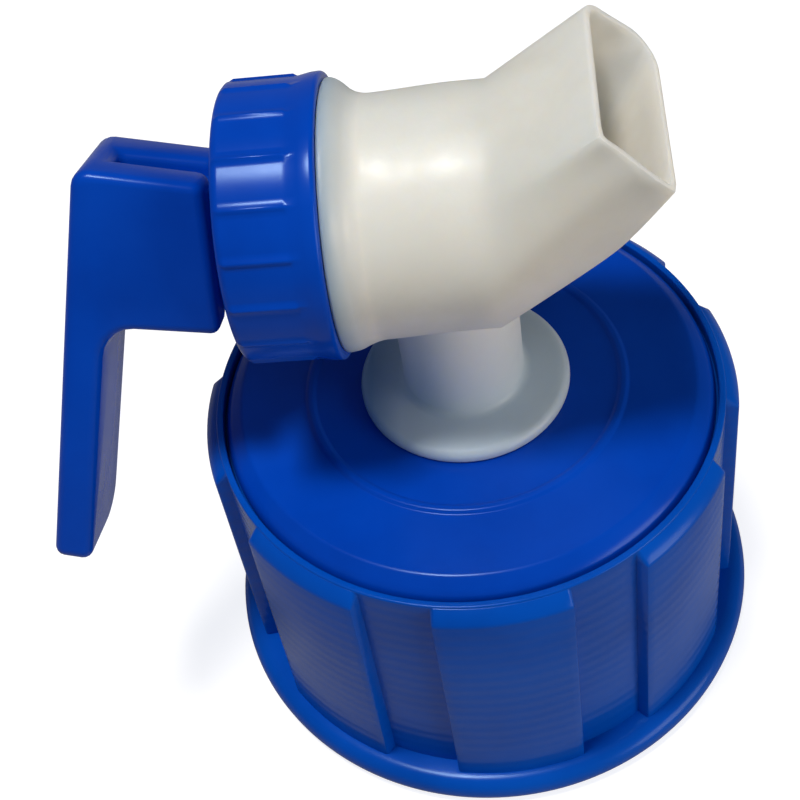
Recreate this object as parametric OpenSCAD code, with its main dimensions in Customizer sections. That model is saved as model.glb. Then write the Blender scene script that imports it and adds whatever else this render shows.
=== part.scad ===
// Jerrycan tap: a screw ring with a free-turning lid, and a lever tap whose barrel lies across it.
// Origin: centre of the ring's open mouth. Z runs up the ring, X runs along the barrel to the spout.

/* [Screw ring] */
// How far the rounded flange at the mouth stands out from the grip panels
flange_out = 3.1; // [2.5:0.1:9]
// Height of the rounded flange
flange_h = 4.6; // [3:0.1:6]
// Height of the whole ring
ring_h = 45.2; // [40:0.1:60]
// Wall of the ring round the lid, in the flutes
rim_wall = 0.9; // [0.6:0.1:2]
// How deep the flutes between the panels are
flute_depth = 1.7; // [0.8:0.1:1.9]
// Number of grip panels
panel_count = 8; // [6:1:12]
// Share of each pitch that the raised panel takes
panel_share = 0.63; // [0.5:0.005:0.8]
// Draft of the skirt, in degrees
skirt_draft = 1; // [0:0.1:1.5]
// Direction of the first panel's centre, in degrees from the front
panel_turn = 6; // [0:0.5:45]
// Chamfer on the top edge of each panel
panel_chamfer = 1.6; // [0.3:0.1:1.8]

/* [Neck thread] */
// Radius of the bore that the container's neck enters
neck_bore_r = 31.2; // [30.6:0.1:31.6]
// How far the thread stands in from the bore
thread_h = 1.5; // [0.8:0.1:2]
// Width of the thread at its root
thread_w = 2.4; // [1.6:0.1:3]
// Rise of the thread in one turn
thread_pitch = 5; // [4:0.1:6]
// Length of the plain guide bore below the thread
guide_len = 6; // [5:0.1:8]
// How much wider the plain guide bore is than the neck's bore
guide_step = 0.6; // [0.5:0.1:1.2]
// Number of thread segments, three to a turn
thread_segments = 7; // [3:1:9]

/* [Lid disc] */
// How much wider the lid is than the neck's bore
lid_over = 0.8; // [0.4:0.1:1.1]
// Height that the lid's top stands above the ring
lid_rise = 1.4; // [0.8:0.1:3]
// Radius of the rounded shoulder of the lid
shoulder_r = 2.4; // [1:0.1:2.8]
// Radius of the raised circle on the lid
circle_r = 20.3; // [17:0.1:26]
// Thickness of the ring's inward lip
lip_t = 1.8; // [1.2:0.1:2.5]
// How far the ring's inward lip stands in from the neck's bore
lip_in = 1.4; // [1.1:0.1:2.4]
// Thickness of the neck gasket
gasket_t = 2.2; // [1.5:0.1:3]

/* [Tap body] */
// Height of the barrel's centre line above the lid
barrel_rise = 31; // [27:0.1:40]
// Outer radius of the barrel
barrel_r = 14; // [13.7:0.1:14.4]
// Wall of the barrel round the plug's bore
barrel_wall = 2.8; // [2.6:0.1:3.6]
// How far the bead beside the collar nut stands out from the barrel
bead_proud = 1.6; // [0.6:0.1:2.5]
// Place of the bead along the barrel
bead_x = -12; // [-14:0.1:-11]
// Outer radius of the neck tube
neck_r = 7.7; // [7:0.1:9.5]
// Radius of the water way through the neck
way_r = 5.2; // [3.5:0.1:5.6]
// How far the flange that sits on the lid stands out from the neck
seat_out = 5.8; // [3.7:0.1:8.1]
// Thickness of that flange at its edge
seat_t = 1.8; // [1.6:0.1:3]
// Length of the threaded stem below the flange
stem_len = 16; // [13:0.1:18]

/* [Spout] */
// Place along the barrel where the spout begins
spout_start = 5.8; // [5.5:0.1:8]
// Place of the mouth's centre along the barrel
mouth_x = 21; // [19:0.1:26]
// Height of the mouth's centre above the centre line
mouth_z = 14.9; // [12:0.1:18]
// Outer width of the mouth at its upper edge
mouth_w = 22.4; // [18:0.1:26]
// How much further the mouth's lower edge reaches on each side
mouth_spread = 0.7; // [0:0.1:2.5]
// Outer height of the mouth, along its slant
mouth_h = 11.2; // [9:0.1:14]
// Slant of the spout away from the barrel, in degrees
spout_slant = 45; // [38:1:52]
// Wall of the spout
spout_wall = 1.6; // [1.2:0.1:2.2]
// Outer radius of the mouth's corners
mouth_round = 2.6; // [2.4:0.1:4]

/* [Collar nut] */
// Wall of the nut over the barrel's thread, with its ribs
collar_wall = 3; // [1.95:0.05:4.15]
// Length of the nut
collar_len = 11.3; // [10:0.1:15]
// Number of ribs
rib_count = 18; // [12:1:24]
// Height of the ribs
rib_h = 0.3; // [0.2:0.05:0.8]
// Radius of the hole in the nut's end
collar_hole_r = 9.5; // [9:0.1:10]
// Thickness of the nut's end
collar_end_t = 1.6; // [1.2:0.1:2.4]

/* [Plug and lever] */
// Angle that the lever stands out from the ring at rest, in degrees
lever_angle = 25; // [0:1:45]
// Width of the lever across its blade
lever_w = 14.4; // [10:0.1:15]
// Thickness of the blade
blade_t = 4.6; // [3:0.1:6]
// Distance from the centre line to the tip of the blade
blade_len = 39.6; // [34:0.1:55]
// Splay of the blade, in degrees
blade_splay = 14; // [4:0.5:18]
// Rise of the arm's underside away from the nut, in degrees
arm_rise = 8; // [0:0.5:10]
// Rise of the arm's top away from the nut, in degrees
top_rise = 12; // [0:0.5:14]
// Reach of the lever's arm beyond the nut
arm_len = 16; // [14:0.1:21]
// Height of the arm's outer end above the centre line
arm_up = 10.2; // [8.4:0.1:12]
// Depth of the arm's inner end below the centre line
arm_down = 11.2; // [8:0.1:13]
// Thickness of the plug's tang
tang_t = 3.4; // [2.4:0.1:4.5]
// Height of the plug's tang
tang_h = 11; // [8:0.1:12]
// Length of the plug's tang
tang_len = 10; // [7:0.1:10.5]
// Wall of the hollow plug
plug_wall = 2.4; // [2.2:0.1:3]
// Cross-section radius of the plug's O-ring
o_ring_r = 0.9; // [0.6:0.05:1]

/* [Fits] */
// Radial play of the plug in its bore
plug_play = 0.06; // [0.03:0.01:0.1]
// Gap between loose pieces that turn past each other
turn_gap = 0.3; // [0.2:0.05:0.4]
// Gap between close faces that turn past each other
run_gap = 0.1; // [0.05:0.01:0.15]
// Gap between pieces that seat on each other
seat_gap = 0.05; // [0.02:0.01:0.1]

/* [Hidden] */
$fn = 96;
eps = 0.01;
over = 1;
blue = [0.02, 0.26, 0.70];
white = [0.90, 0.89, 0.85];
rubber = [0.10, 0.10, 0.11];

// Ring and lid, measured up from the mouth
lid_r = neck_bore_r + lid_over;
guide_r = neck_bore_r + guide_step;
lip_r = neck_bore_r - lip_in;
counterbore_r = lid_r + turn_gap;
flute_r = counterbore_r + rim_wall;
panel_r = flute_r + flute_depth;
flange_r = panel_r + flange_out;
draft = tan(skirt_draft);
pitch_deg = 360 / panel_count;
panel_top_gap = 0.2;
panel_root = 0.8;
shelf_depth = 2;
shelf_z = ring_h - shelf_depth;
lip_z = shelf_z - lip_t;
thread_root = 0.4;
arcs_per_turn = 3;
thread_arc_deg = 100;
lid_top = ring_h + lid_rise;
lid_under = shelf_z + turn_gap;
circle_round = 0.5;
circle_height = 0.35;
spigot_r = lip_r - turn_gap;
spigot_wall = 3.6;
spigot_in = spigot_r - spigot_wall;
snap_r = neck_bore_r - turn_gap;
snap_top = lip_z - turn_gap;
snap_h = 1.6;
gasket_top = snap_top - snap_h;

// Stem, gaskets and locknut, measured down from the lid
stem_ridge = 0.6;
stem_over = 0.3;
stem_r = neck_r + stem_over;
stem_crest_r = stem_r + stem_ridge;
stem_pitch = 2.2;
ridge_share = 0.7;
stem_hole_r = stem_crest_r + turn_gap / 2;
seat_r = neck_r + seat_out;
groove_depth = 1;
groove_land = 0.6;
flange_gasket_in = stem_r + groove_land;
flange_gasket_out = seat_r - 2 * groove_land;
seat_edge = 0.7;
seat_fillet = 0.6;
washer_t = 1;
washer_w = 5;
washer_r = stem_hole_r + washer_w;
nut_t = 5;
nut_inset = 0.4;
nut_r = washer_r - nut_inset;
nut_top = lid_under - washer_t;

// Barrel and collar nut, measured along X
axis_z = lid_top + barrel_rise;
bore_r = barrel_r - barrel_wall;
bead_r = barrel_r + bead_proud;
bead_len = 3.2;
bead_edge = 0.6;
collar_x = bead_x - seat_gap;
collar_face = collar_x - collar_len;
collar_rim = 2;
collar_rim_proud = 0.15;
collar_round = 0.6;
rib_profile = [[0, 0], [0.14, 0], [0.2, 1], [0.6, 1.1], [0.94, 1]];
thrust_t = 0.4;
shoulder_t = 0.9;
thrust_x = collar_face + collar_end_t;
plug_shoulder_x = thrust_x + thrust_t + run_gap;
barrel_end = plug_shoulder_x + shoulder_t + run_gap;
barrel_step = 1.3;
barrel_thread_r = barrel_r - barrel_step;
barrel_ridge = 0.6;
barrel_pitch = 2.4;
barrel_turns = 2;
collar_in_r = barrel_thread_r + barrel_ridge + seat_gap;
collar_r = collar_in_r + collar_wall;
chin_r = 6;
chin_in = 11.3;
chin_drop = 12;
chin_half = 7;
slice = 0.1;

// Plug and lever
plug_r = bore_r - plug_play;
plug_end = spout_start - turn_gap;
plug_web = 2;
plug_hollow_x = -way_r - plug_web;
plug_boss_r = collar_hole_r - turn_gap;
shoulder_step = 0.2;
plug_shoulder_r = barrel_thread_r - shoulder_step;
port_step = 0.8;
port_r = way_r - port_step;
o_ring_inset = 3;
o_ring_x = bead_x - o_ring_inset;
o_ring_side = 0.1;
lever_x = collar_face - turn_gap;
slot_t = tang_t + 2 * seat_gap;
slot_spare = 2.6;
slot_len = tang_len + slot_spare;
arm_end = lever_x - arm_len;
tip_round = 5.5;
tip_edge = 1.2;
arm_round = 2;
fillet_r = 4;
lever_span = 4 * (arm_len + blade_len);

// Shape that stands on the barrel's centre line, with its own Z along X
module along_barrel(x) {
    translate([x, 0, axis_z]) rotate([0, 90, 0]) children();
}

// Shape that turns with the lever: its own Z points away from the blade at rest
module lever_place() {
    translate([0, 0, axis_z]) rotate([-lever_angle, 0, 0]) children();
}

// Flat ring from z_low to z_high
module flat_ring(r_in, r_out, z_low, z_high) {
    difference() {
        translate([0, 0, z_low]) cylinder(r = r_out, h = z_high - z_low);
        translate([0, 0, z_low - over]) cylinder(r = r_in, h = z_high - z_low + 2 * over);
    }
}

// Round ring of circular section
module round_ring(r, section_r, z) {
    rotate_extrude() translate([r, z]) circle(r = section_r);
}

// One stretch of a thread: an arc of a ring, tilted by the thread's lead
module thread_arc(root_r, crest_r, width, pitch, middle) {
    lead = atan(pitch / (2 * PI * root_r));
    rotate([0, 0, middle]) rotate([lead, 0, 0]) rotate([0, 0, -thread_arc_deg / 2])
        rotate_extrude(angle = thread_arc_deg)
            polygon([[crest_r, -width / 6], [root_r, -width / 2], [root_r, width / 2], [crest_r, width / 6]]);
}

// A thread of such stretches, climbing from z
module thread(root_r, crest_r, width, pitch, count, z) {
    for (i = [0:count - 1])
        translate([0, 0, z + i * pitch / arcs_per_turn])
            thread_arc(root_r, crest_r, width, pitch, i * 360 / arcs_per_turn);
}

// One raised grip panel, centred on the given direction
module grip_panel(direction) {
    arc = pitch_deg * panel_share;
    top = ring_h - panel_top_gap;
    rotate([0, 0, direction - arc / 2]) rotate_extrude(angle = arc)
        polygon([
            [flute_r - panel_root, flange_h / 2],
            [panel_r + draft * ring_h, flange_h / 2],
            [panel_r + draft * panel_chamfer, top - panel_chamfer],
            [panel_r - panel_chamfer, top],
            [flute_r - panel_root, top]
        ]);
}

// Screw ring: rounded flange, fluted skirt, inward lip and a thread for the container's neck
module cap_ring() {
    color(blue) {
        difference() {
            union() {
                cylinder(r = flange_r - flange_h / 2, h = flange_h);
                round_ring(flange_r - flange_h / 2, flange_h / 2, flange_h / 2);
                cylinder(r1 = flute_r + draft * ring_h, r2 = flute_r, h = ring_h);
                for (i = [0:panel_count - 1])
                    grip_panel(-90 + panel_turn + i * pitch_deg);
            }
            translate([0, 0, -eps]) cylinder(r = guide_r, h = guide_len + eps);
            cylinder(r = neck_bore_r, h = lip_z);
            cylinder(r = lip_r, h = ring_h);
            translate([0, 0, shelf_z]) cylinder(r = counterbore_r, h = shelf_depth + eps);
        }
        thread(neck_bore_r + thread_root, neck_bore_r - thread_h, thread_w, thread_pitch,
            thread_segments, guide_len + thread_w);
    }
}

// Lid: top plate with a round shoulder, and a spigot that snaps under the ring's lip
module lid_disc() {
    color(blue) difference() {
        union() {
            translate([0, 0, lid_under]) cylinder(r = lid_r, h = lid_top - lid_under - shoulder_r);
            translate([0, 0, lid_under]) cylinder(r = lid_r - shoulder_r, h = lid_top - lid_under);
            intersection() {
                round_ring(lid_r - shoulder_r, shoulder_r, lid_top - shoulder_r);
                translate([0, 0, lid_under]) cylinder(r = lid_r + over, h = lid_top);
            }
            round_ring(circle_r, circle_round, lid_top + circle_height - circle_round);
            translate([0, 0, gasket_top]) cylinder(r = spigot_r, h = lid_under - gasket_top + eps);
            translate([0, 0, gasket_top]) cylinder(r1 = spigot_r, r2 = snap_r, h = snap_h);
        }
        translate([0, 0, gasket_top - eps]) cylinder(r = spigot_in, h = lid_under - gasket_top + eps);
        cylinder(r = stem_hole_r, h = lid_top + over);
    }
}

// Gasket that the rim of the container's neck presses on
module neck_gasket() {
    color(rubber) flat_ring(spigot_in, spigot_r, gasket_top - gasket_t, gasket_top);
}

// Outside of the spout: from the barrel's end to the slanted mouth, with a full chin below
module spout_outside() {
    hull() {
        along_barrel(spout_start - slice) cylinder(r = barrel_r, h = slice, $fn = 64);
        mouth_plate(mouth_w, mouth_h, mouth_round, 0);
        translate([mouth_x - chin_in + chin_r, 0, axis_z + mouth_z - chin_drop])
            rotate([90, 0, 0]) cylinder(r = chin_r, h = 2 * chin_half, center = true, $fn = 32);
    }
}

// Inside of the spout, open at the mouth
module spout_inside() {
    hull() {
        along_barrel(spout_start - slice) cylinder(r = bore_r - spout_wall, h = slice, $fn = 64);
        mouth_plate(mouth_w - 2 * spout_wall, mouth_h - 2 * spout_wall, mouth_round - spout_wall, 0);
        translate([mouth_x - chin_in + chin_r, 0, axis_z + mouth_z - chin_drop])
            rotate([90, 0, 0])
                cylinder(r = chin_r - spout_wall, h = 2 * (chin_half - spout_wall), center = true, $fn = 32);
    }
    hull() {
        mouth_plate(mouth_w - 2 * spout_wall, mouth_h - 2 * spout_wall, mouth_round - spout_wall, 0);
        mouth_plate(mouth_w - 2 * spout_wall, mouth_h - 2 * spout_wall, mouth_round - spout_wall, over);
    }
}

// Thin plate in the mouth's slanted plane, moved out along the spout
module mouth_plate(w, h, r, out) {
    translate([mouth_x, 0, axis_z + mouth_z]) rotate([0, 90 - spout_slant, 0])
        for (sx = [-1, 1], sy = [-1, 1])
            translate([sx * (h / 2 - r), sy * (w / 2 - r + (1 + sx) * mouth_spread / 2), out - slice])
                cylinder(r = r, h = slice, $fn = 32);
}

// Barrel with its bead and threaded end, turned in one
module barrel() {
    along_barrel(0) rotate_extrude() polygon([
        [0, barrel_end],
        [barrel_thread_r, barrel_end],
        [barrel_thread_r, bead_x],
        [bead_r - bead_edge, bead_x],
        [bead_r, bead_x + bead_edge],
        [bead_r, bead_x + bead_len / 2],
        [barrel_r + bead_edge / 2, bead_x + bead_len - bead_edge / 2],
        [barrel_r, bead_x + bead_len + bead_edge],
        [barrel_r, spout_start],
        [0, spout_start]
    ]);
    along_barrel(0) thread(barrel_thread_r - thread_root, barrel_thread_r + barrel_ridge,
        barrel_pitch * ridge_share, barrel_pitch, barrel_turns * arcs_per_turn,
        barrel_end + barrel_pitch * ridge_share);
}

// Neck with its flange and threaded stem
module neck() {
    rotate_extrude() polygon([
        [0, lid_top - stem_len],
        [stem_r - seat_edge, lid_top - stem_len],
        [stem_r, lid_top - stem_len + seat_edge],
        [stem_r, lid_top],
        [seat_r - seat_edge, lid_top],
        [seat_r, lid_top + seat_edge],
        [seat_r, lid_top + seat_t - seat_edge],
        [seat_r - seat_edge, lid_top + seat_t],
        [neck_r + seat_fillet, lid_top + seat_t + seat_fillet],
        [neck_r, lid_top + seat_t + 2 * seat_fillet],
        [neck_r, axis_z],
        [0, axis_z]
    ]);
    thread(stem_r - thread_root, stem_crest_r, stem_pitch * ridge_share, stem_pitch,
        floor((stem_len - stem_pitch - lid_top + lid_under) / stem_pitch) * arcs_per_turn,
        lid_top - stem_len + stem_pitch * ridge_share);
}

// White body: neck, barrel and spout in one moulding
module tap_body() {
    color(white) difference() {
        union() {
            neck();
            barrel();
            spout_outside();
        }
        along_barrel(barrel_end - over) cylinder(r = bore_r, h = spout_start - barrel_end + over);
        spout_inside();
        translate([0, 0, lid_top - stem_len - over])
            cylinder(r = way_r, h = axis_z - lid_top + stem_len + over);
        flat_ring(flange_gasket_in, flange_gasket_out, lid_top - eps, lid_top + groove_depth);
    }
}

// Gasket let into the underside of the body's flange
module flange_gasket() {
    color(rubber) flat_ring(flange_gasket_in + seat_gap, flange_gasket_out - seat_gap,
        lid_top, lid_top + groove_depth);
}

// Flat washer under the lid
module lock_washer() {
    color(rubber) flat_ring(stem_hole_r, washer_r, lid_under - washer_t, lid_under);
}

// Six-sided nut that draws the body down on the lid
module stem_locknut() {
    color(white) difference() {
        union() {
            translate([0, 0, nut_top - nut_t]) cylinder(r = nut_r, h = nut_t, $fn = 6);
            translate([0, 0, nut_top - washer_t]) cylinder(r = nut_r, h = washer_t);
        }
        translate([0, 0, nut_top - nut_t - over]) cylinder(r = stem_crest_r + seat_gap, h = nut_t + 2 * over);
    }
}

// Hollow plug with a side port, a shoulder under the nut and a tang for the lever
module valve_plug() {
    color(blue) difference() {
        union() {
            along_barrel(plug_shoulder_x) cylinder(r = plug_r, h = plug_end - plug_shoulder_x);
            along_barrel(plug_shoulder_x) cylinder(r = plug_shoulder_r, h = shoulder_t);
            along_barrel(lever_x) cylinder(r = plug_boss_r, h = plug_shoulder_x - lever_x + eps);
            lever_place() translate([lever_x - tang_len, -tang_t / 2, -tang_h / 2])
                cube([tang_len + eps, tang_t, tang_h]);
        }
        along_barrel(plug_hollow_x) cylinder(r = plug_r - plug_wall, h = plug_end - plug_hollow_x + over);
        lever_place() rotate([-90, 0, 0]) cylinder(r = port_r, h = plug_r + over);
        along_barrel(o_ring_x) difference() {
            translate([0, 0, -o_ring_r - o_ring_side])
                cylinder(r = plug_r + over, h = 2 * (o_ring_r + o_ring_side));
            translate([0, 0, -o_ring_r - over])
                cylinder(r = plug_r - 2 * o_ring_r, h = 2 * (o_ring_r + over));
        }
    }
}

// O-ring that keeps water from the lever's end of the plug
module plug_o_ring() {
    color(rubber) along_barrel(o_ring_x) round_ring(plug_r - o_ring_r, o_ring_r, 0);
}

// Slip washer between the plug's shoulder and the nut
module thrust_washer() {
    color(white) along_barrel(0)
        flat_ring(collar_hole_r, collar_in_r - seat_gap, thrust_x, thrust_x + thrust_t);
}

// Outline of the ribbed nut: each profile point is a share of the pitch and of the rib's height
function rib_outline() = [
    for (i = [0:rib_count - 1], k = rib_profile)
        let (a = (i + k[0]) * 360 / rib_count)
        (collar_r - k[1] * rib_h) * [cos(a), sin(a)]
];

// Ribbed nut that keeps the plug in the barrel
module collar_nut() {
    color(blue) along_barrel(0) difference() {
        union() {
            translate([0, 0, collar_face]) linear_extrude(height = collar_len - collar_rim / 2)
                polygon(rib_outline());
            translate([0, 0, collar_x - collar_rim])
                cylinder(r = collar_r + collar_rim_proud, h = collar_rim);
        }
        translate([0, 0, collar_face - over]) cylinder(r = collar_hole_r, h = collar_len + 2 * over);
        translate([0, 0, thrust_x]) cylinder(r = collar_in_r, h = collar_len);
        translate([0, 0, collar_face]) rotate_extrude() polygon([
            [collar_r - collar_round - over, -over],
            [collar_r + over, -over],
            [collar_r + over, collar_round + over]
        ]);
    }
}

// Points that round the corner b between a and c
function unit(v) = v / norm(v);
function rounded(a, b, c, r, steps = 6) =
    let (
        u = unit(a - b),
        v = unit(c - b),
        half = acos(u * v) / 2,
        centre = b + unit(u + v) * r / sin(half),
        first = unit(b + u * r / tan(half) - centre),
        last = unit(b + v * r / tan(half) - centre)
    )
    [for (i = [0:steps]) centre + r * unit(first * (steps - i) + last * i)];

// Side view of the lever: the rising arm at the nut and the splayed blade, with a fillet between them
function lever_outline() =
    let (
        slope = tan(blade_splay),
        rise = tan(arm_rise),
        thick = blade_t / cos(blade_splay),
        low_in = [lever_x, -arm_down],
        top_in = [lever_x, arm_up - arm_len * tan(top_rise)],
        top_out = [arm_end, arm_up],
        tip_out = [arm_end - (arm_up + blade_len) * slope, -blade_len],
        tip_in = tip_out + [thick, 0],
        inner_x = arm_end + thick - (arm_up + arm_down) * slope,
        crook_z = -arm_down + (lever_x - inner_x) * rise,
        crook = [arm_end + thick - (arm_up - crook_z) * slope, crook_z]
    )
    concat([low_in, top_in],
        rounded(top_in, top_out, tip_out, arm_round),
        rounded(top_out, tip_out, tip_in, tip_edge),
        rounded(tip_out, tip_in, crook, tip_edge),
        rounded(tip_in, crook, low_in, fillet_r));

// Front view of the lever: straight sides and rounded tip corners
module lever_front() {
    long = arm_up + blade_len;
    translate([-lever_w / 2, -blade_len + tip_round]) square([lever_w, long - tip_round + over]);
    translate([-lever_w / 2 + tip_round, -blade_len]) square([lever_w - 2 * tip_round, tip_round + over]);
    for (s = [-1, 1])
        translate([s * (lever_w / 2 - tip_round), -blade_len + tip_round]) circle(r = tip_round);
}

// L-shaped lever, slotted to push onto the plug's tang
module lever_handle() {
    color(blue) lever_place() difference() {
        intersection() {
            rotate([90, 0, 0]) linear_extrude(height = lever_w, center = true) polygon(lever_outline());
            rotate([90, 0, -90]) linear_extrude(height = lever_span, center = true) lever_front();
        }
        translate([lever_x - slot_len, -slot_t / 2, -arm_down - over])
            cube([slot_len + over, slot_t, arm_down + arm_up + 2 * over]);
    }
}

cap_ring();
lid_disc();
neck_gasket();
tap_body();
flange_gasket();
lock_washer();
stem_locknut();
valve_plug();
plug_o_ring();
thrust_washer();
collar_nut();
lever_handle();
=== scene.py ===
import bmesh
import bpy
import math
from mathutils import Matrix, Vector


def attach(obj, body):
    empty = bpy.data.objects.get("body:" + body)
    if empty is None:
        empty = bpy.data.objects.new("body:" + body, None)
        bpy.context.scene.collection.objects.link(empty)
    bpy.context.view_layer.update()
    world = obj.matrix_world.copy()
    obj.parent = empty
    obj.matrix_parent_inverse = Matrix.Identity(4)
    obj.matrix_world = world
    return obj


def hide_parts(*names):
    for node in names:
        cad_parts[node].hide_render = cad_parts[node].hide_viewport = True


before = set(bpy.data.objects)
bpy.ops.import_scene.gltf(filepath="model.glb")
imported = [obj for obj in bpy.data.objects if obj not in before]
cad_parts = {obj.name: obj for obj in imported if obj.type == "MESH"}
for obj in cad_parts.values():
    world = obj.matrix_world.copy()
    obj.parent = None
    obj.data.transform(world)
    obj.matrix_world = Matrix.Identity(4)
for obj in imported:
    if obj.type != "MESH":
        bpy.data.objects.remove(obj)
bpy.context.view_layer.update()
print("frame loaded,", len(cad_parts), "solids")

mm = 0.001
axisZ = 77.6  # the barrel's centre line above the ring's mouth, mm
lidTop = 46.6  # the lid's face above the ring's mouth, mm


# materials

def nodeMaterial(name):
    material = bpy.data.materials.new(name)
    material.use_nodes = True
    tree = material.node_tree
    tree.nodes.clear()
    out = tree.nodes.new("ShaderNodeOutputMaterial")
    shader = tree.nodes.new("ShaderNodeBsdfPrincipled")
    tree.links.new(shader.outputs["BSDF"], out.inputs["Surface"])
    coords = tree.nodes.new("ShaderNodeTexCoord")
    return material, tree, shader, coords.outputs["Object"]


def noise(tree, coords, scale, detail, rough=0.5):
    node = tree.nodes.new("ShaderNodeTexNoise")
    node.inputs["Scale"].default_value = scale
    node.inputs["Detail"].default_value = detail
    node.inputs["Roughness"].default_value = rough
    tree.links.new(coords, node.inputs["Vector"])
    return node.outputs["Fac"]


def ramp(tree, value, stops):
    node = tree.nodes.new("ShaderNodeValToRGB")
    marks = node.color_ramp.elements
    while len(marks) < len(stops):
        marks.new(0.5)
    for mark, (place, colour) in zip(marks, stops):
        mark.position = place
        mark.color = (*colour, 1.0)
    tree.links.new(value, node.inputs["Fac"])
    return node.outputs["Color"]


def remap(tree, value, low, high, fromLow=0.3, fromHigh=0.7):
    node = tree.nodes.new("ShaderNodeMapRange")
    node.inputs["From Min"].default_value = fromLow
    node.inputs["From Max"].default_value = fromHigh
    node.inputs["To Min"].default_value = low
    node.inputs["To Max"].default_value = high
    tree.links.new(value, node.inputs["Value"])
    return node.outputs["Result"]


def bump(tree, height, strength, distance, under=None):
    node = tree.nodes.new("ShaderNodeBump")
    node.inputs["Strength"].default_value = strength
    node.inputs["Distance"].default_value = distance
    tree.links.new(height, node.inputs["Height"])
    if under:
        tree.links.new(under, node.inputs["Normal"])
    return node.outputs["Normal"]


# patterns are (scale, detail, roughness), and their bumps are (strength, distance)
blueSet = dict(
    tap=[(0.30, (0.000, 0.046, 0.420)), (0.50, (0.000, 0.055, 0.480)), (0.72, (0.001, 0.063, 0.520))],
    ring=[(0.30, (0.000, 0.064, 0.430)), (0.50, (0.000, 0.075, 0.490)), (0.72, (0.001, 0.085, 0.530))],
    swirl=(55.0, 4.0, 0.55), haze=(260.0, 4.0, 0.6), rough=(0.21, 0.25), gloss=0.22, sheen=(0.50, 0.72, 1.0),
    wave=(95.0, 1.0), waveBump=(0.15, 0.0002), grain=(2600.0, 2.0), grainBump=(0.06, 0.00003),
    rippleScale=140.0, rippleBend=1.2, rippleDetail=1.0, rippleBump=(0.25, 0.0001),
)


def bluePlastic(name, shades, rippled):
    s = blueSet
    material, tree, shader, coords = nodeMaterial(name)
    colour = ramp(tree, noise(tree, coords, *s["swirl"]), s[shades])
    tree.links.new(colour, shader.inputs["Base Color"])
    haze = noise(tree, coords, *s["haze"])
    tree.links.new(remap(tree, haze, *s["rough"]), shader.inputs["Roughness"])
    shader.inputs["Specular IOR Level"].default_value = s["gloss"]
    shader.inputs["Specular Tint"].default_value = (*s["sheen"], 1.0)
    normal = bump(tree, noise(tree, coords, *s["wave"]), *s["waveBump"])
    normal = bump(tree, noise(tree, coords, *s["grain"]), *s["grainBump"], normal)
    if rippled:
        wave = tree.nodes.new("ShaderNodeTexWave")
        wave.bands_direction = "Z"
        wave.inputs["Scale"].default_value = s["rippleScale"]
        wave.inputs["Distortion"].default_value = s["rippleBend"]
        wave.inputs["Detail"].default_value = s["rippleDetail"]
        tree.links.new(coords, wave.inputs["Vector"])
        normal = bump(tree, wave.outputs["Fac"], *s["rippleBump"], normal)
    tree.links.new(normal, shader.inputs["Normal"])
    return material


# painted shade and painted blue bounce light on the white, each as (axis, where the tint begins and ends
# along it in metres, tint)
whiteSet = dict(
    shades=[(0.25, (0.740, 0.710, 0.640)), (0.50, (0.830, 0.806, 0.745)), (0.75, (0.870, 0.852, 0.800))],
    swirl=(40.0, 5.0, 0.6), cloud=(300.0, 3.0), rough=(0.34, 0.50),
    wave=(80.0, 1.0), waveBump=(0.08, 0.0003), grain=(1800.0, 2.0), grainBump=(0.15, 0.00005),
    milky=0.7, milkyTint=(1.0, 0.85, 0.65), milkyDepth=0.004,
    paintedBlueShades=[("X", (-0.0120, -0.0080), (0.36, 0.50, 0.68)), ("Z", (0.0466, 0.0700), (0.60, 0.77, 1.0))],
)


def whitePlastic(name):
    s = whiteSet
    material, tree, shader, coords = nodeMaterial(name)
    colour = ramp(tree, noise(tree, coords, *s["swirl"]), s["shades"])
    # painted shade and painted blue bounce light: the white is darkened and tinted blue from the bead into
    # the nut, fading out by -8 mm along X, and from the lid's face upwards, fading out by 70 mm over the
    # neck, its seat and the barrel's underside
    split = tree.nodes.new("ShaderNodeSeparateXYZ")
    tree.links.new(coords, split.inputs["Vector"])
    for axis, edge, tint in s["paintedBlueShades"]:
        paintedShade = tree.nodes.new("ShaderNodeMix")
        paintedShade.data_type = "RGBA"
        paintedShade.blend_type = "MULTIPLY"
        tree.links.new(remap(tree, split.outputs[axis], 1.0, 0.0, *edge), paintedShade.inputs["Factor"])
        colourIn = next(i for i in paintedShade.inputs if i.name == "A" and i.type == "RGBA")
        tintIn = next(i for i in paintedShade.inputs if i.name == "B" and i.type == "RGBA")
        tintIn.default_value = (*tint, 1.0)
        tree.links.new(colour, colourIn)
        colour = next(o for o in paintedShade.outputs if o.type == "RGBA")
    tree.links.new(colour, shader.inputs["Base Color"])
    cloud = noise(tree, coords, *s["cloud"])
    tree.links.new(remap(tree, cloud, *s["rough"]), shader.inputs["Roughness"])
    shader.inputs["Subsurface Weight"].default_value = s["milky"]
    shader.inputs["Subsurface Radius"].default_value = s["milkyTint"]
    shader.inputs["Subsurface Scale"].default_value = s["milkyDepth"]
    normal = bump(tree, noise(tree, coords, *s["wave"]), *s["waveBump"])
    normal = bump(tree, noise(tree, coords, *s["grain"]), *s["grainBump"], normal)
    tree.links.new(normal, shader.inputs["Normal"])
    return material


rubberSet = dict(
    shades=[(0.35, (0.012, 0.012, 0.013)), (0.75, (0.035, 0.034, 0.033))], rough=(0.62, 0.85),
    dust=(220.0, 4.0, 0.6), grain=(2400.0, 2.0), grainBump=(0.3, 0.00005),
)


def sealRubber(name):
    s = rubberSet
    material, tree, shader, coords = nodeMaterial(name)
    dust = noise(tree, coords, *s["dust"])
    tree.links.new(ramp(tree, dust, s["shades"]), shader.inputs["Base Color"])
    tree.links.new(remap(tree, dust, *s["rough"]), shader.inputs["Roughness"])
    tree.links.new(bump(tree, noise(tree, coords, *s["grain"]), *s["grainBump"]), shader.inputs["Normal"])
    return material


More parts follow.
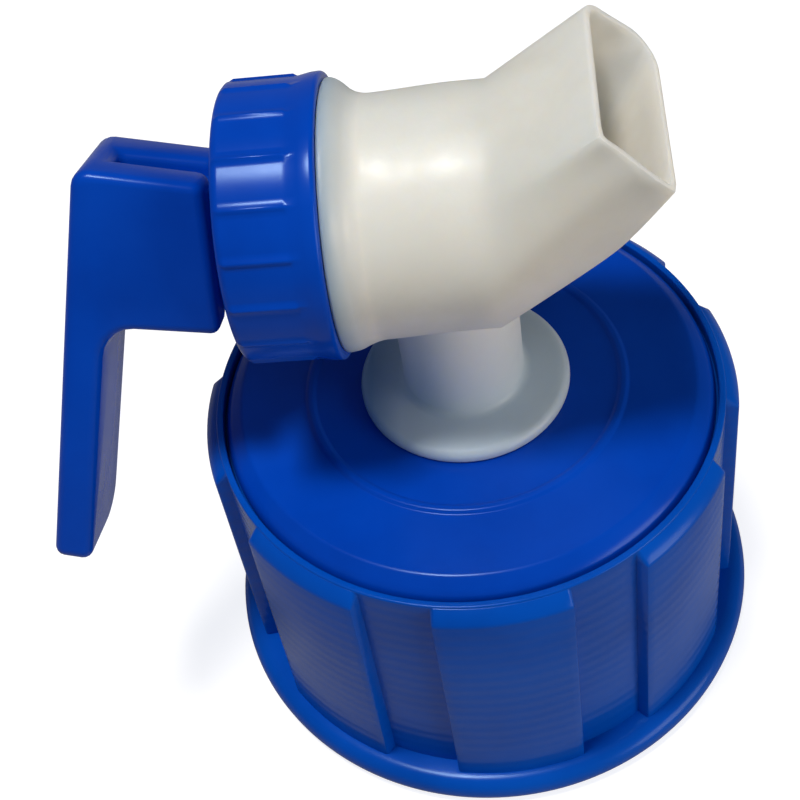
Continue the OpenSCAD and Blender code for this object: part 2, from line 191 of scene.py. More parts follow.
ringBlue = bluePlastic("ringBlue", "ring", True)
tapBlue = bluePlastic("tapBlue", "tap", False)
bodyWhite = whitePlastic("bodyWhite")
gasketRubber = sealRubber("gasketRubber")
print("materials made")


# modelling helpers, all in mm until a piece is finished

roundSteps = 5  # segments in a rounded corner of a section
mergeDist = 0.002
near = 0.01  # closer than this counts as the same place


def wire(bm, points, along="Z", closed=True):
    # points are (radius, place along the axis, corner rounding)
    verts = []
    for radius, place, _ in points:
        verts.append(bm.verts.new((radius, 0, place) if along == "Z" else (place, 0, radius)))
    pairs = list(zip(verts, verts[1:] + verts[:1]))
    for a, b in pairs if closed else pairs[:-1]:
        bm.edges.new((a, b))
    for vert, (_, _, rounding) in zip(verts, points):
        if rounding:
            bmesh.ops.bevel(bm, geom=[vert], offset=rounding, offset_type="OFFSET", segments=roundSteps,
                            profile=0.5, affect="VERTICES", material=-1)
    return bm.verts[:] + bm.edges[:]


def spun(bm, geom, degrees, steps, along="Z", climb=0.0):
    return bmesh.ops.spin(bm, geom=geom, cent=(0, 0, 0), axis=(0, 0, 1) if along == "Z" else (1, 0, 0),
                          dvec=(0, 0, climb), angle=math.radians(degrees), steps=steps)["geom_last"]


def turned(bm, points, steps, along="Z", closed=True):
    geom = wire(bm, points, along, closed)
    bmesh.ops.spin(bm, geom=geom, cent=(0, 0, 0), axis=(0, 0, 1) if along == "Z" else (1, 0, 0),
                   dvec=(0, 0, 0), angle=2 * math.pi, steps=steps, use_merge=True)


def rotated(bm, degrees, along="Z", verts=None):
    bmesh.ops.rotate(bm, verts=verts or bm.verts, cent=(0, 0, 0),
                     matrix=Matrix.Rotation(math.radians(degrees), 3, along))


def ofKind(geom, kind):
    return [g for g in geom if isinstance(g, kind)]


def tidyMesh(bm):
    bmesh.ops.remove_doubles(bm, verts=bm.verts, dist=mergeDist)
    bmesh.ops.recalc_face_normals(bm, faces=bm.faces)


def makePiece(name, bm, material, body, nodes=(), smoothDeg=35.0, flat=()):
    tidyMesh(bm)
    bmesh.ops.scale(bm, vec=(mm, mm, mm), verts=bm.verts)
    for face in bm.faces:
        face.smooth = face not in flat
    mesh = bpy.data.meshes.new(name)
    bm.to_mesh(mesh)
    bm.free()
    mesh.materials.append(material)
    piece = bpy.data.objects.new(name, mesh)
    bpy.context.scene.collection.objects.link(piece)
    mesh.set_sharp_from_angle(angle=math.radians(smoothDeg))
    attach(piece, body)
    if nodes:
        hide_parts(*nodes)
    print("piece", name, len(mesh.polygons), "faces")
    return piece


# the screw ring: a turned section whose skirt steps out into grip panels

ringSet = dict(
    panels=8, panelShare=0.63, firstPanel=-84.0, wallDeg=0.55, panelSteps=14, fluteSteps=4,
    flange=38.0, flangeH=4.6, flangeRound=2.28, fluteTop=33.2, fluteLow=33.91, fluteBrow=44.4, height=45.2,
    panelTop=34.9, panelLow=35.61, panelHigh=44.93, panelLevels=(12.0, 28.0), chamfer=1.6,
    guide=31.8, guideH=6.0, guideRound=0.4, bore=31.2, lip=29.8, lipZ=41.4, lipRound=0.2,
    shelf=43.2, counterbore=32.3, topRound=0.25, edge=0.35, edgeSteps=2,
    edgeFrom=5.0, edgeBelow=0.1, edgeCrease=0.4,
)


def makeCapRing():
    s = ringSet
    bm = bmesh.new()
    draft = (s["fluteLow"] - s["fluteTop"]) / (s["height"] - s["flangeH"])
    onFlute = lambda z: s["fluteTop"] + draft * (s["height"] - z)
    onPanel = lambda z: s["panelTop"] + draft * (s["height"] - z)
    chamferZ, browZ = s["panelHigh"] - s["chamfer"], s["fluteBrow"]
    # skirt points, and where a grip panel takes them
    moves = [((s["fluteLow"], s["flangeH"]), (s["panelLow"], s["flangeH"]))]
    moves += [((onFlute(z), z), (onPanel(z), z)) for z in s["panelLevels"]]
    moves += [((onFlute(chamferZ), chamferZ), (s["panelTop"], chamferZ)),
              ((onFlute(browZ), browZ), (s["panelTop"] - s["chamfer"], s["panelHigh"]))]
    section = [(s["guide"], 0, s["guideRound"]), (s["flange"], 0, s["flangeRound"]),
               (s["flange"], s["flangeH"], s["flangeRound"])]
    section += [(r, z, 0) for (r, z), _ in moves]
    section += [
        (s["fluteTop"], s["height"], s["topRound"]), (s["counterbore"], s["height"], s["lipRound"]),
        (s["counterbore"], s["shelf"], 0), (s["lip"], s["shelf"], s["lipRound"]),
        (s["lip"], s["lipZ"], s["lipRound"]), (s["bore"], s["lipZ"], 0), (s["bore"], s["guideH"], 0),
        (s["guide"], s["guideH"], 0),
    ]
    geom = wire(bm, section)
    # one sector, from the middle of a flute to the middle of the next
    pitch = 360.0 / s["panels"]
    panelHalf = pitch * s["panelShare"] / 2
    fluteHalf = pitch / 2 - panelHalf - s["wallDeg"]
    rotated(bm, -pitch / 2)
    for width, steps in ((fluteHalf, s["fluteSteps"]), (s["wallDeg"], 1), (2 * panelHalf, s["panelSteps"]),
                         (s["wallDeg"], 1), (fluteHalf, s["fluteSteps"])):
        geom = spun(bm, geom, width, steps)
    raised = set()
    for vert in bm.verts:
        radius = math.hypot(vert.co.x, vert.co.y)
        angle = math.degrees(math.atan2(vert.co.y, vert.co.x))
        for (r, z), (newR, newZ) in moves:
            if abs(angle) < panelHalf + near and abs(radius - r) < near and abs(vert.co.z - z) < near:
                vert.co.x *= newR / r
                vert.co.y *= newR / r
                vert.co.z = newZ
                raised.add(vert)
    bmesh.ops.recalc_face_normals(bm, faces=bm.faces)
    corners = [e for e in bm.edges if e.verts[0] in raised and e.verts[1] in raised
               and len(e.link_faces) == 2 and e.calc_face_angle() > s["edgeCrease"]
               and s["edgeFrom"] < max(v.co.z for v in e.verts)
               and min(v.co.z for v in e.verts) < s["panelHigh"] - s["edgeBelow"]]
    bmesh.ops.bevel(bm, geom=corners, offset=s["edge"], offset_type="OFFSET", segments=s["edgeSteps"],
                    profile=0.5, affect="EDGES", material=-1)
    sector = bm.verts[:] + bm.edges[:] + bm.faces[:]
    for i in range(1, s["panels"]):
        copy = bmesh.ops.duplicate(bm, geom=sector)["geom"]
        rotated(bm, pitch * i, verts=ofKind(copy, bmesh.types.BMVert))
    rotated(bm, s["firstPanel"])
    return makePiece("capRing", bm, ringBlue, "screw_ring", ["cap_ring"])


# a thread is one ridge section, spun while it climbs

neckThreadSet = dict(root=31.5, crest=29.75, foot=2.4, top=0.8, pitch=5.0, turns=2.25, start=8.6)
stemThreadSet = dict(root=7.7, crest=8.58, foot=1.5, top=0.5, pitch=2.2, turns=4.0, start=32.3)
threadSet = dict(stepsPerTurn=64, startDeg=20.0, crestRound=0.2)


def makeThread(name, s, material, body):
    bm = bmesh.new()
    footHalf, topHalf = s["foot"] / 2, s["top"] / 2
    section = [(s["root"], s["start"] - footHalf, 0), (s["root"], s["start"] + footHalf, 0),
               (s["crest"], s["start"] + topHalf, threadSet["crestRound"]),
               (s["crest"], s["start"] - topHalf, threadSet["crestRound"])]
    geom = wire(bm, section)
    rotated(bm, threadSet["startDeg"])
    first = ofKind(geom, bmesh.types.BMEdge)
    steps = int(s["turns"] * threadSet["stepsPerTurn"])
    last = spun(bm, geom, 360 * s["turns"], steps, climb=s["pitch"] / threadSet["stepsPerTurn"])
    bmesh.ops.contextual_create(bm, geom=first)
    bmesh.ops.contextual_create(bm, geom=ofKind(last, bmesh.types.BMEdge))
    return makePiece(name, bm, material, body)


# the lid: one turned section with a broken shoulder, a raised circle and the snap spigot

lidSet = dict(
    hole=8.75, holeRound=0.3, under=43.5, radius=32.0, sideTop=44.3, sideRound=0.8,
    shoulderMid=(31.35, 45.35), shoulderRound=0.6, shoulderIn=29.6, shoulderEdge=0.3,
    circle=20.3, circleHalf=0.75, circleFlat=0.3, circleUp=0.35, circleFoot=0.12, circleRound=0.15,
    spigotOut=29.5, spigotIn=25.9, spigotLow=39.5, spigotRoot=0.3, edge=0.2,
    snap=30.9, snapZ=41.1, snapRound=0.15, steps=192,
)


def makeLid():
    s = lidSet
    bm = bmesh.new()
    circleTop = lidTop + s["circleUp"]
    section = [
        (s["hole"], s["under"], 0), (s["spigotIn"], s["under"], s["spigotRoot"]),
        (s["spigotIn"], s["spigotLow"], s["edge"]), (s["spigotOut"], s["spigotLow"], s["edge"]),
        (s["snap"], s["snapZ"], s["snapRound"]), (s["spigotOut"], s["snapZ"], 0),
        (s["spigotOut"], s["under"], 0), (s["radius"], s["under"], s["edge"]),
        (s["radius"], s["sideTop"], s["sideRound"]), (*s["shoulderMid"], s["shoulderRound"]),
        (s["shoulderIn"], lidTop, s["shoulderEdge"]),
        (s["circle"] + s["circleHalf"], lidTop, s["circleFoot"]),
        (s["circle"] + s["circleFlat"], circleTop, s["circleRound"]),
        (s["circle"] - s["circleFlat"], circleTop, s["circleRound"]),
        (s["circle"] - s["circleHalf"], lidTop, s["circleFoot"]),
        (s["hole"], lidTop, s["holeRound"]),
    ]
    turned(bm, section, s["steps"])
    return makePiece("lidDisc", bm, tapBlue, "tap", ["lid_disc"])


# the white body: a turned barrel that lofts into the slanted spout, and a turned neck let into it

barrelSet = dict(
    end=-20.25, endRound=0.4, threadR=12.7, bore=11.2, boreRound=0.3, wayIn=9.4, wayStep=0.1,
    beadX=-12.0, beadR=15.6, beadEdge=0.35, beadW=1.3, beadRound=1.1, footW=3.2, footRound=1.4,
    barrelR=14.0, stations=(-7.0, -5.0, -3.0, -1.0, 1.0), blend=2.4, spoutX=5.8, steps=96,
    sag=0.65, sagFrom=0.6, sagSpan=(-8.8, 3.0), sagOutside=0.5,
)
spoutSet = dict(
    mouthX=21.0, mouthZ=14.9, width=22.4, height=11.2, slant=45.0, spread=0.7, spreadUp=0.45,
    nearCorner=1.0, farCorner=2.6, farLowCorner=4.4, leastCorner=0.6,
    wall=1.4, rimWall=0.8, rimEdge=0.25, rimSteps=2, rimCrease=0.5, lowFrom=80.0, lowSpan=70.0,
    chin=(20.9, 7.6, -0.5), chinPull=5.0, chinWide=1.3, chinBack=1.2, chinUp=1.1,
    rings=(0.1, 0.2, 0.32, 0.44, 0.56, 0.68, 0.8, 0.9, 0.965, 1.0),
)
neckSet = dict(
    way=5.2, wayBelow=2.0, stem=8.0, stemLow=30.6, stemRound=0.5, seat=13.5, seatT=1.8, seatLowRound=0.5,
    seatTopRound=0.9, neck=7.7, fillet=0.6, filletRound=0.4, topZ=66.1,
    grooveIn=8.6, grooveOut=12.3, groove=1.0, steps=96,
)


def clamp(value, low, high):
    return max(low, min(high, value))


def ease(share):
    return share * share * (3 - 2 * share)


def mouthPoint(angle, inset):
    # the rounded mouth outline at an angle from its top, in the barrel's own frame
    s = spoutSet
    across, up = math.sin(angle), math.cos(angle)
    corner = s["nearCorner"] if across < 0 else s["farCorner"] if up > 0 else s["farLowCorner"]
    corner = max(corner - inset, s["leastCorner"])
    halfH = s["height"] / 2 - inset
    halfW = s["width"] / 2 + s["spread"] * (1 - clamp(up / s["spreadUp"], -1, 1)) / 2 - inset
    scale = 1 / max(abs(across), abs(up))
    across, up = across * scale * halfW, up * scale * halfH
    inW, inH = halfW - corner, halfH - corner
    if abs(across) > inW and abs(up) > inH:
        centre = Vector((math.copysign(inW, across), math.copysign(inH, up)))
        across, up = centre + (Vector((across, up)) - centre).normalized() * corner
    tilt = math.radians(s["slant"])
    return Vector((s["mouthX"] - up * math.cos(tilt), across, s["mouthZ"] + up * math.sin(tilt)))


def spoutPoint(angle, t, inside):
    # t runs from the barrel's end to the mouth, by way of the chin on the underside
    s = spoutSet
    radius = barrelSet["wayIn"] if inside else barrelSet["barrelR"]
    inset = s["wall"] if inside else 0.0
    start = Vector((barrelSet["spoutX"], radius * math.sin(angle), radius * math.cos(angle)))
    end = mouthPoint(angle, s["rimWall"] if inside else 0.0)
    low = ease(clamp((abs(math.degrees(angle)) - s["lowFrom"]) / s["lowSpan"], 0.0, 1.0))
    chinX, chinY, chinZ = s["chin"]
    chin = Vector((chinX - s["chinBack"] * inset, chinY * clamp(s["chinWide"] * math.sin(angle), -1, 1),
                   chinZ + s["chinUp"] * inset))
    middle = ((start + end) / 2).lerp(chin, low)
    pull = 1 + (s["chinPull"] - 1) * low
    weights = ((1 - t) ** 2, 2 * pull * t * (1 - t), t * t)
    return (weights[0] * start + weights[1] * middle + weights[2] * end) / sum(weights)


def makeBarrel():
    s = barrelSet
    bm = bmesh.new()
    bead = s["beadX"]
    section = [
        (s["wayIn"], s["spoutX"], 0), (s["bore"], s["spoutX"] - s["wayStep"], 0),
        (s["bore"], s["end"], s["boreRound"]), (s["threadR"], s["end"], s["endRound"]),
        (s["threadR"], bead, 0), (s["beadR"], bead, s["beadEdge"]),
        (s["beadR"], bead + s["beadW"], s["beadRound"]), (s["barrelR"], bead + s["footW"], s["footRound"]),
    ]
    section += [(s["barrelR"], x, 0) for x in (*s["stations"], s["spoutX"] - s["blend"], s["spoutX"])]
    turned(bm, section, s["steps"], "X", False)
    # the barrel hangs a little low beside the bead
    sagX = bead + s["sagFrom"]
    lowest, stop = s["sagSpan"]
    for vert in bm.verts:
        if sagX < vert.co.x < stop and math.hypot(vert.co.y, vert.co.z) > s["threadR"] + s["sagOutside"]:
            share = min((vert.co.x - sagX) / (lowest - sagX), (stop - vert.co.x) / (stop - lowest))
            vert.co.z -= s["sag"] * ease(share)
    # out along the spout, over the rim and back inside
    angleOf = bm.verts.layers.float.new("angle")
    onEnd = lambda c: abs(c.x - s["spoutX"]) < near and math.hypot(c.y, c.z) > s["bore"]
    edge = [e for e in bm.edges if len(e.link_faces) < 2 and all(onEnd(v.co) for v in e.verts)]
    for vert in {v for e in edge for v in e.verts}:
        vert[angleOf] = math.atan2(vert.co.y, vert.co.z)
    stops = [(t, False) for t in spoutSet["rings"]]
    stops += [(t, True) for t in reversed((0.0,) + spoutSet["rings"])]
    for t, inside in stops:
        made = bmesh.ops.extrude_edge_only(bm, edges=edge)["geom"]
        edge = [e for e in ofKind(made, bmesh.types.BMEdge) if e.is_boundary]
        for vert in {v for e in edge for v in e.verts}:
            vert.co = spoutPoint(vert[angleOf], t, inside)
    bm.verts.layers.float.remove(angleOf)
    tidyMesh(bm)
    tilt = math.radians(spoutSet["slant"])
    mouthX, mouthZ = spoutSet["mouthX"], spoutSet["mouthZ"]
    offMouth = lambda c: abs((c.x - mouthX) * math.sin(tilt) + (c.z - mouthZ) * math.cos(tilt))
    rim = [e for e in bm.edges if all(offMouth(v.co) < near for v in e.verts)
           and e.calc_face_angle(0) > spoutSet["rimCrease"]]
    bmesh.ops.bevel(bm, geom=rim, offset=spoutSet["rimEdge"], offset_type="OFFSET",
                    segments=spoutSet["rimSteps"], profile=0.5, affect="EDGES", material=-1)
    bmesh.ops.translate(bm, vec=(0, 0, axisZ), verts=bm.verts)
    return bm


def makeNeck():
    s = neckSet
    bm = bmesh.new()
    top, grooveTop = lidTop + s["seatT"], lidTop + s["groove"]
    section = [
        (0, s["stemLow"], 0), (s["stem"], s["stemLow"], s["stemRound"]), (s["stem"], lidTop, 0),
        (s["grooveIn"], lidTop, 0), (s["grooveIn"], grooveTop, 0),
        (s["grooveOut"], grooveTop, 0), (s["grooveOut"], lidTop, 0),
        (s["seat"], lidTop, s["seatLowRound"]), (s["seat"], top, s["seatTopRound"]),
        (s["neck"] + s["fillet"], top + s["fillet"], s["filletRound"]),
        (s["neck"], top + 2 * s["fillet"], s["filletRound"]), (s["neck"], s["topZ"], 0), (0, s["topZ"], 0),
    ]
    turned(bm, section, s["steps"], closed=False)
    return bm


def makeWay():
    s = neckSet
    bm = bmesh.new()
    low = s["stemLow"] - s["wayBelow"]
    section = [(0, low, 0), (s["way"], low, 0), (s["way"], axisZ, 0), (0, axisZ, 0)]
    turned(bm, section, s["steps"], closed=False)
    return bm


def combined(base, tool, operation):
    # one shell from two closed ones
    shells = []
    for name, bm in (("baseShell", base), ("toolShell", tool)):
        tidyMesh(bm)
        mesh = bpy.data.meshes.new(name)
        bm.to_mesh(mesh)
        bm.free()
        shells.append(bpy.data.objects.new(name, mesh))
        bpy.context.scene.collection.objects.link(shells[-1])
    both = shells[0].modifiers.new("combine", "BOOLEAN")
    both.operation = operation
    both.solver = "EXACT"
    both.object = shells[1]
    result = bmesh.new()
    result.from_object(shells[0], bpy.context.evaluated_depsgraph_get())
    for mesh in [shell.data for shell in shells]:
        bpy.data.meshes.remove(mesh)
    return result


def makeTapBody():
    body = combined(makeBarrel(), makeNeck(), "UNION")
    body = combined(body, makeWay(), "DIFFERENCE")
    return makePiece("tapBody", body, bodyWhite, "tap", ["tap_body"])


# the ribbed nut: a turned shell whose rib columns stand out

nutSet = dict(
    face=-23.35, back=-12.05, radius=16.05, edge=0.5, edgeRound=0.25, hole=9.5, holeRound=0.3,
    ribs=18, firstRib=-0.6, ribH=0.28, ribRise=0.7, ribTop=1.0, ribSteps=2, ribEase=0.5,
    ribMargin=(0.05, 0.1), flatSteps=7,
    rim=16.4, rimLen=1.2, rimFoot=0.6, rimEdge=0.5, slope=1.8, inside=13.35, insideEdge=0.2, endT=1.6,
    smoothDeg=60.0,
)


def makeCollarNut():
    s = nutSet
    bm = bmesh.new()
    ribStart, ribEnd = s["face"] + s["edge"], s["back"] - s["rimLen"] - s["slope"]
    endX = s["face"] + s["endT"]
    section = [
        (s["hole"], s["face"], s["holeRound"]), (s["radius"] - s["edge"], s["face"], s["edgeRound"]),
        (s["radius"], ribStart, 0), (s["radius"], ribStart + s["ribEase"], 0),
        (s["radius"], ribEnd - s["ribEase"], 0), (s["radius"], ribEnd, 0),
        (s["rim"], s["back"] - s["rimLen"], s["rimFoot"]), (s["rim"], s["back"], s["rimEdge"]),
        (s["inside"], s["back"], s["insideEdge"]), (s["inside"], endX, 0), (s["hole"], endX, 0),
    ]
    geom = wire(bm, section, "X")
    pitch = 360.0 / s["ribs"]
    flat = pitch - s["ribTop"] - 2 * s["ribRise"]
    for i in range(s["ribs"]):
        for width, steps in ((s["ribRise"], 1), (s["ribTop"], s["ribSteps"]), (s["ribRise"], 1),
                             (flat, s["flatSteps"])):
            geom = spun(bm, geom, width, steps, "X")
    marginDeg, marginX = s["ribMargin"]
    for vert in bm.verts:
        radius = math.hypot(vert.co.y, vert.co.z)
        # turning about X takes +Z towards -Y
        place = math.degrees(math.atan2(-vert.co.y, vert.co.z)) % pitch
        onRib = s["ribRise"] - marginDeg < place < s["ribRise"] + s["ribTop"] + marginDeg
        if onRib and abs(radius - s["radius"]) < near and ribStart + marginX < vert.co.x < ribEnd - marginX:
            vert.co.y *= 1 + s["ribH"] / radius
            vert.co.z *= 1 + s["ribH"] / radius
    rotated(bm, s["firstRib"], "X")
    bmesh.ops.translate(bm, vec=(0, 0, axisZ), verts=bm.verts)
    return makePiece("collarNut", bm, tapBlue, "tap", ["collar_nut"], s["smoothDeg"])


# the lever: its side outline drawn once and extruded across, with the slot left open in the middle

leverSet = dict(
    faceX=-23.65, armLen=16.0, armUp=10.2, armDown=11.2, armRise=8.0, topRise=12.0, armRound=2.0, width=14.4,
    bladeT=4.6, bladeLen=39.2, splay=14.0, fillet=4.0, slotT=3.5, slotLen=12.6, angle=25.0,
    tipRounds=(1.8, 4.8), tipSteps=8, edge=1.2, edgeSteps=4, sharpDeg=40.0,
    neckLow=2.6, neckTop=1.8, neckIn=0.8, neckShift=1.9, neckFacing=0.9, flatFrom=18.0,
)


def makeLever():
    s = leverSet
    bm = bmesh.new()
    lean = math.radians(s["splay"])
    slope, rise = math.tan(lean), math.tan(math.radians(s["armRise"]))
    thick = s["bladeT"] / math.cos(lean)
    endX, slotX = s["faceX"] - s["armLen"], s["faceX"] - s["slotLen"]
    stepLow, stepTop = s["faceX"] - s["neckLow"], s["faceX"] - s["neckTop"]
    topAt = lambda x: s["armUp"] - (x - endX) * math.tan(math.radians(s["topRise"]))
    lowAt = lambda x: -s["armDown"] + (s["faceX"] - x) * rise
    tipX = endX - (s["armUp"] + s["bladeLen"]) * slope
    # where the arm's underside meets the blade
    crookX = endX + thick - (s["armUp"] + s["armDown"]) * slope
    crookZ = lowAt(crookX)
    crookX = endX + thick - (s["armUp"] - crookZ) * slope
    outline = [
        (stepLow, lowAt(stepLow), 0), (stepTop, topAt(stepTop), 0), (slotX, topAt(slotX), 0),
        (endX, s["armUp"], s["armRound"]), (tipX, -s["bladeLen"], 0),
        (tipX + s["bladeT"] * math.cos(lean), -s["bladeLen"] - s["bladeT"] * math.sin(lean), 0),
        (crookX, crookZ, s["fillet"]), (slotX, lowAt(slotX), 0),
    ]
    wire(bm, [(z, x, r) for x, z, r in outline], "X")
    bmesh.ops.remove_doubles(bm, verts=bm.verts, dist=mergeDist)
    bmesh.ops.translate(bm, vec=(0, -s["width"] / 2, 0), verts=bm.verts)
    face = bmesh.ops.contextual_create(bm, geom=bm.edges[:])["faces"]
    side = (s["width"] - s["slotT"]) / 2
    for i, step in enumerate((side, s["slotT"], side)):
        made = bmesh.ops.extrude_face_region(bm, geom=face)["geom"]
        bmesh.ops.translate(bm, vec=(0, step, 0), verts=ofKind(made, bmesh.types.BMVert))
        if step == s["slotT"]:
            slab = [f for f in bm.faces if abs(f.calc_center_median().y) < near]
        if i:
            bmesh.ops.delete(bm, geom=face, context="FACES_ONLY")  # no wall inside the lever
        face = ofKind(made, bmesh.types.BMFace)
    # open the slot, then close its two cheeks and its end
    opened = [f for f in slab if f.calc_center_median().x > slotX + near]
    bmesh.ops.delete(bm, geom=opened, context="FACES_ONLY")
    half = s["slotT"] / 2
    for y in (-half, half):
        cheek = [v for v in bm.verts if abs(v.co.y - y) < near and v.co.x > slotX - near]
        bmesh.ops.contextual_create(bm, geom=cheek)
    endWall = [v for v in bm.verts if abs(v.co.x - slotX) < near and abs(abs(v.co.y) - half) < near]
    bmesh.ops.contextual_create(bm, geom=endWall)
    bmesh.ops.delete(bm, geom=[e for e in bm.edges if not e.link_faces], context="EDGES")
    bmesh.ops.recalc_face_normals(bm, faces=bm.faces)
    # round the blade's two tip corners, the near one less, and then every sharp edge
    for hand, radius in zip((-1, 1), s["tipRounds"]):
        tip = [e for e in bm.edges if all(abs(v.co.y - hand * s["width"] / 2) < near for v in e.verts)
               and all(v.co.z < -s["bladeLen"] + near for v in e.verts)]
        bmesh.ops.bevel(bm, geom=tip, offset=radius, offset_type="OFFSET", segments=s["tipSteps"],
                        profile=0.5, affect="EDGES", material=-1)
    sharpFrom = math.radians(s["sharpDeg"])
    sharp = [e for e in bm.edges if len(e.link_faces) == 2 and e.calc_face_angle() > sharpFrom]
    rounded = set(bmesh.ops.bevel(bm, geom=sharp, offset=s["edge"], offset_type="OFFSET",
                                  segments=s["edgeSteps"], profile=0.5, affect="EDGES", clamp_overlap=False,
                                  material=-1)["faces"])
    # the arm stops short of the nut, and two thinner cheeks go on to it
    bm.normal_update()
    cheeks = [f for f in bm.faces if f.normal.x > s["neckFacing"] and f.calc_area() > s["flatFrom"]
              and stepLow < f.calc_center_median().x < stepTop]
    bmesh.ops.inset_individual(bm, faces=cheeks, thickness=s["neckIn"], use_even_offset=True)
    for cheek in cheeks:
        inwards = -math.copysign(s["neckShift"], cheek.calc_center_median().y)
        bmesh.ops.translate(bm, vec=(0, inwards, 0), verts=cheek.verts[:])
    made = bmesh.ops.extrude_discrete_faces(bm, faces=cheeks)["faces"]
    for vert in {v for f in made for v in f.verts}:
        vert.co.x = s["faceX"]
    flat = {f for f in bm.faces if f not in rounded and f.calc_area() > s["flatFrom"]}
    rotated(bm, -s["angle"], "X")
    bmesh.ops.translate(bm, vec=(0, 0, axisZ), verts=bm.verts)
    return makePiece("leverHandle", bm, tapBlue, "valve", ["lever_handle"],
                     s["sharpDeg"], flat)


makeCapRing()
makeThread("neckThread", neckThreadSet, ringBlue, "screw_ring")
makeLid()
makeTapBody()
makeThread("stemThread", stemThreadSet, bodyWhite, "tap")
makeCollarNut()
makeLever()

# the solids that stay in view keep their shape and take a finish
finishes = dict(
    neck_gasket=gasketRubber, flange_gasket=gasketRubber, lock_washer=gasketRubber, plug_o_ring=gasketRubber,
    stem_locknut=bodyWhite, thrust_washer=bodyWhite, valve_plug=tapBlue,
)
for nodeName, material in finishes.items():
    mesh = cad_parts[nodeName].data
    mesh.materials.clear()
    mesh.materials.append(material)
print("solids finished")


# camera, light and floor

cameraSet = dict(place=(10.59, -121.05, 195.90), turn=(38.241, 6.847, 0.581), lens=66.683, sensor=36.0,
                 clip=(0.01, 20.0))
camera = bpy.data.objects.new("camera", bpy.data.cameras.new("camera"))
camera.location = Vector(cameraSet["place"]) * mm
camera.rotation_euler = [math.radians(a) for a in cameraSet["turn"]]
camera.data.lens = cameraSet["lens"]
camera.data.sensor_width = cameraSet["sensor"]
camera.data.clip_start, camera.data.clip_end = cameraSet["clip"]
bpy.context.scene.collection.objects.link(camera)
bpy.context.scene.camera = camera

# sizes are metres for an area and radians for a sun
lampAim = Vector((0, 0, 0.05))
lampSet = [
    dict(name="keyLamp", kind="AREA", place=(-0.12, -0.06, 0.90), size=0.15, power=4.95,
         tint=(1.0, 0.98, 0.94)),
    dict(name="fillLamp", kind="SUN", place=(0.70, -0.38, 0.22), size=0.6, power=1.5,
         tint=(1.0, 0.86, 0.70)),
    dict(name="backLamp", kind="AREA", place=(-0.60, 0.80, 0.50), size=1.4, power=0.40,
         tint=(0.90, 0.95, 1.0)),
]
for s in lampSet:
    lamp = bpy.data.objects.new(s["name"], bpy.data.lights.new(s["name"], s["kind"]))
    lamp.data.energy = s["power"]
    if s["kind"] == "SUN":
        lamp.data.angle = s["size"]
    else:
        lamp.data.size = s["size"]
    lamp.data.color = s["tint"]
    lamp.location = s["place"]
    lamp.rotation_euler = (lampAim - lamp.location).to_track_quat("-Z", "Y").to_euler()
    bpy.context.scene.collection.objects.link(lamp)
print("lamps placed")


def raysSeen(tree, shares):
    # how much of a pale backdrop each kind of ray is shown
    path = tree.nodes.new("ShaderNodeLightPath")
    seen = None
    for ray, share in shares.items():
        part = remap(tree, path.outputs[ray], 0.0, share, 0.0, 1.0)
        if seen:
            most = tree.nodes.new("ShaderNodeMath")
            most.operation = "MAXIMUM"
            tree.links.new(seen, most.inputs[0])
            tree.links.new(part, most.inputs[1])
            part = most.outputs["Value"]
        seen = part
    return seen


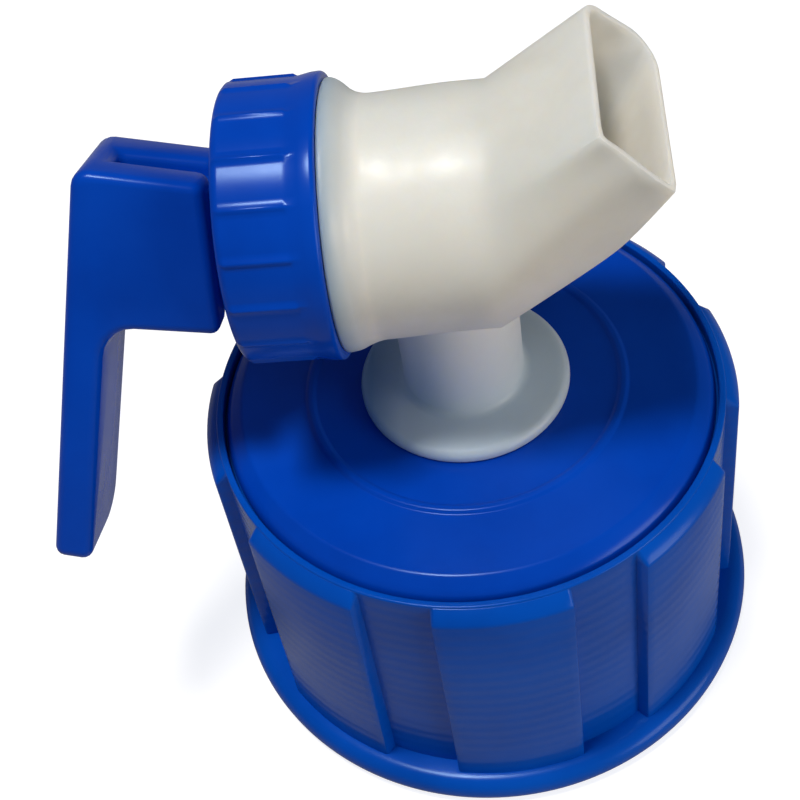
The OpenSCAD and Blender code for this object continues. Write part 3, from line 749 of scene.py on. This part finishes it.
# the sky's light is strongest in front of the part, and the camera sees a pale backdrop in its place
skySet = dict(
    tint=(0.66, 0.84, 1.0), levels=(0.24, 0.22), heights=(0.10, 0.60), behind=0.40, behindSpan=(-0.5, 0.5),
    backdrop=(0.90, 0.92, 0.95),
    rays={"Is Camera Ray": 1.0, "Is Glossy Ray": 0.02, "Is Transmission Ray": 1.0},
)
world = bpy.data.worlds.new("studio")
bpy.context.scene.world = world
world.use_nodes = True
tree = world.node_tree
sky = tree.nodes["Background"]
sky.inputs["Color"].default_value = (*skySet["tint"], 1.0)
direction = tree.nodes.new("ShaderNodeTexCoord")
split = tree.nodes.new("ShaderNodeSeparateXYZ")
tree.links.new(direction.outputs["Generated"], split.inputs["Vector"])
strength = tree.nodes.new("ShaderNodeMath")
strength.operation = "MULTIPLY"
fade = remap(tree, split.outputs["Z"], *skySet["levels"], *skySet["heights"])
turnAway = remap(tree, split.outputs["Y"], 1.0, skySet["behind"], *skySet["behindSpan"])
tree.links.new(fade, strength.inputs[0])
tree.links.new(turnAway, strength.inputs[1])
tree.links.new(strength.outputs["Value"], sky.inputs["Strength"])
backdrop = tree.nodes.new("ShaderNodeBackground")
backdrop.inputs["Color"].default_value = (*skySet["backdrop"], 1.0)
skyMix = tree.nodes.new("ShaderNodeMixShader")
tree.links.new(raysSeen(tree, skySet["rays"]), skyMix.inputs["Fac"])
tree.links.new(sky.outputs["Background"], skyMix.inputs[1])
tree.links.new(backdrop.outputs["Background"], skyMix.inputs[2])
tree.links.new(skyMix.outputs["Shader"], tree.nodes["World Output"].inputs["Surface"])

floorSet = dict(radius=3.0, segments=96, base=(0.38, 0.37, 0.35), rough=0.9, glow=(0.95, 0.96, 1.0),
                rays={"Is Camera Ray": 0.86, "Is Glossy Ray": 0.05, "Is Transmission Ray": 0.75})
bm = bmesh.new()
bmesh.ops.create_circle(bm, cap_ends=True, segments=floorSet["segments"], radius=floorSet["radius"])
floorMesh = bpy.data.meshes.new("floor")
bm.to_mesh(floorMesh)
bm.free()
floor = bpy.data.objects.new("floor", floorMesh)
bpy.context.scene.collection.objects.link(floor)
floorMaterial, tree, shader, coords = nodeMaterial("floorPaper")
shader.inputs["Base Color"].default_value = (*floorSet["base"], 1.0)
shader.inputs["Roughness"].default_value = floorSet["rough"]
shader.inputs["Emission Color"].default_value = (*floorSet["glow"], 1.0)
tree.links.new(raysSeen(tree, floorSet["rays"]), shader.inputs["Emission Strength"])
floorMesh.materials.append(floorMaterial)

bpy.context.scene.view_settings.view_transform = "Standard"

print("scene ready")
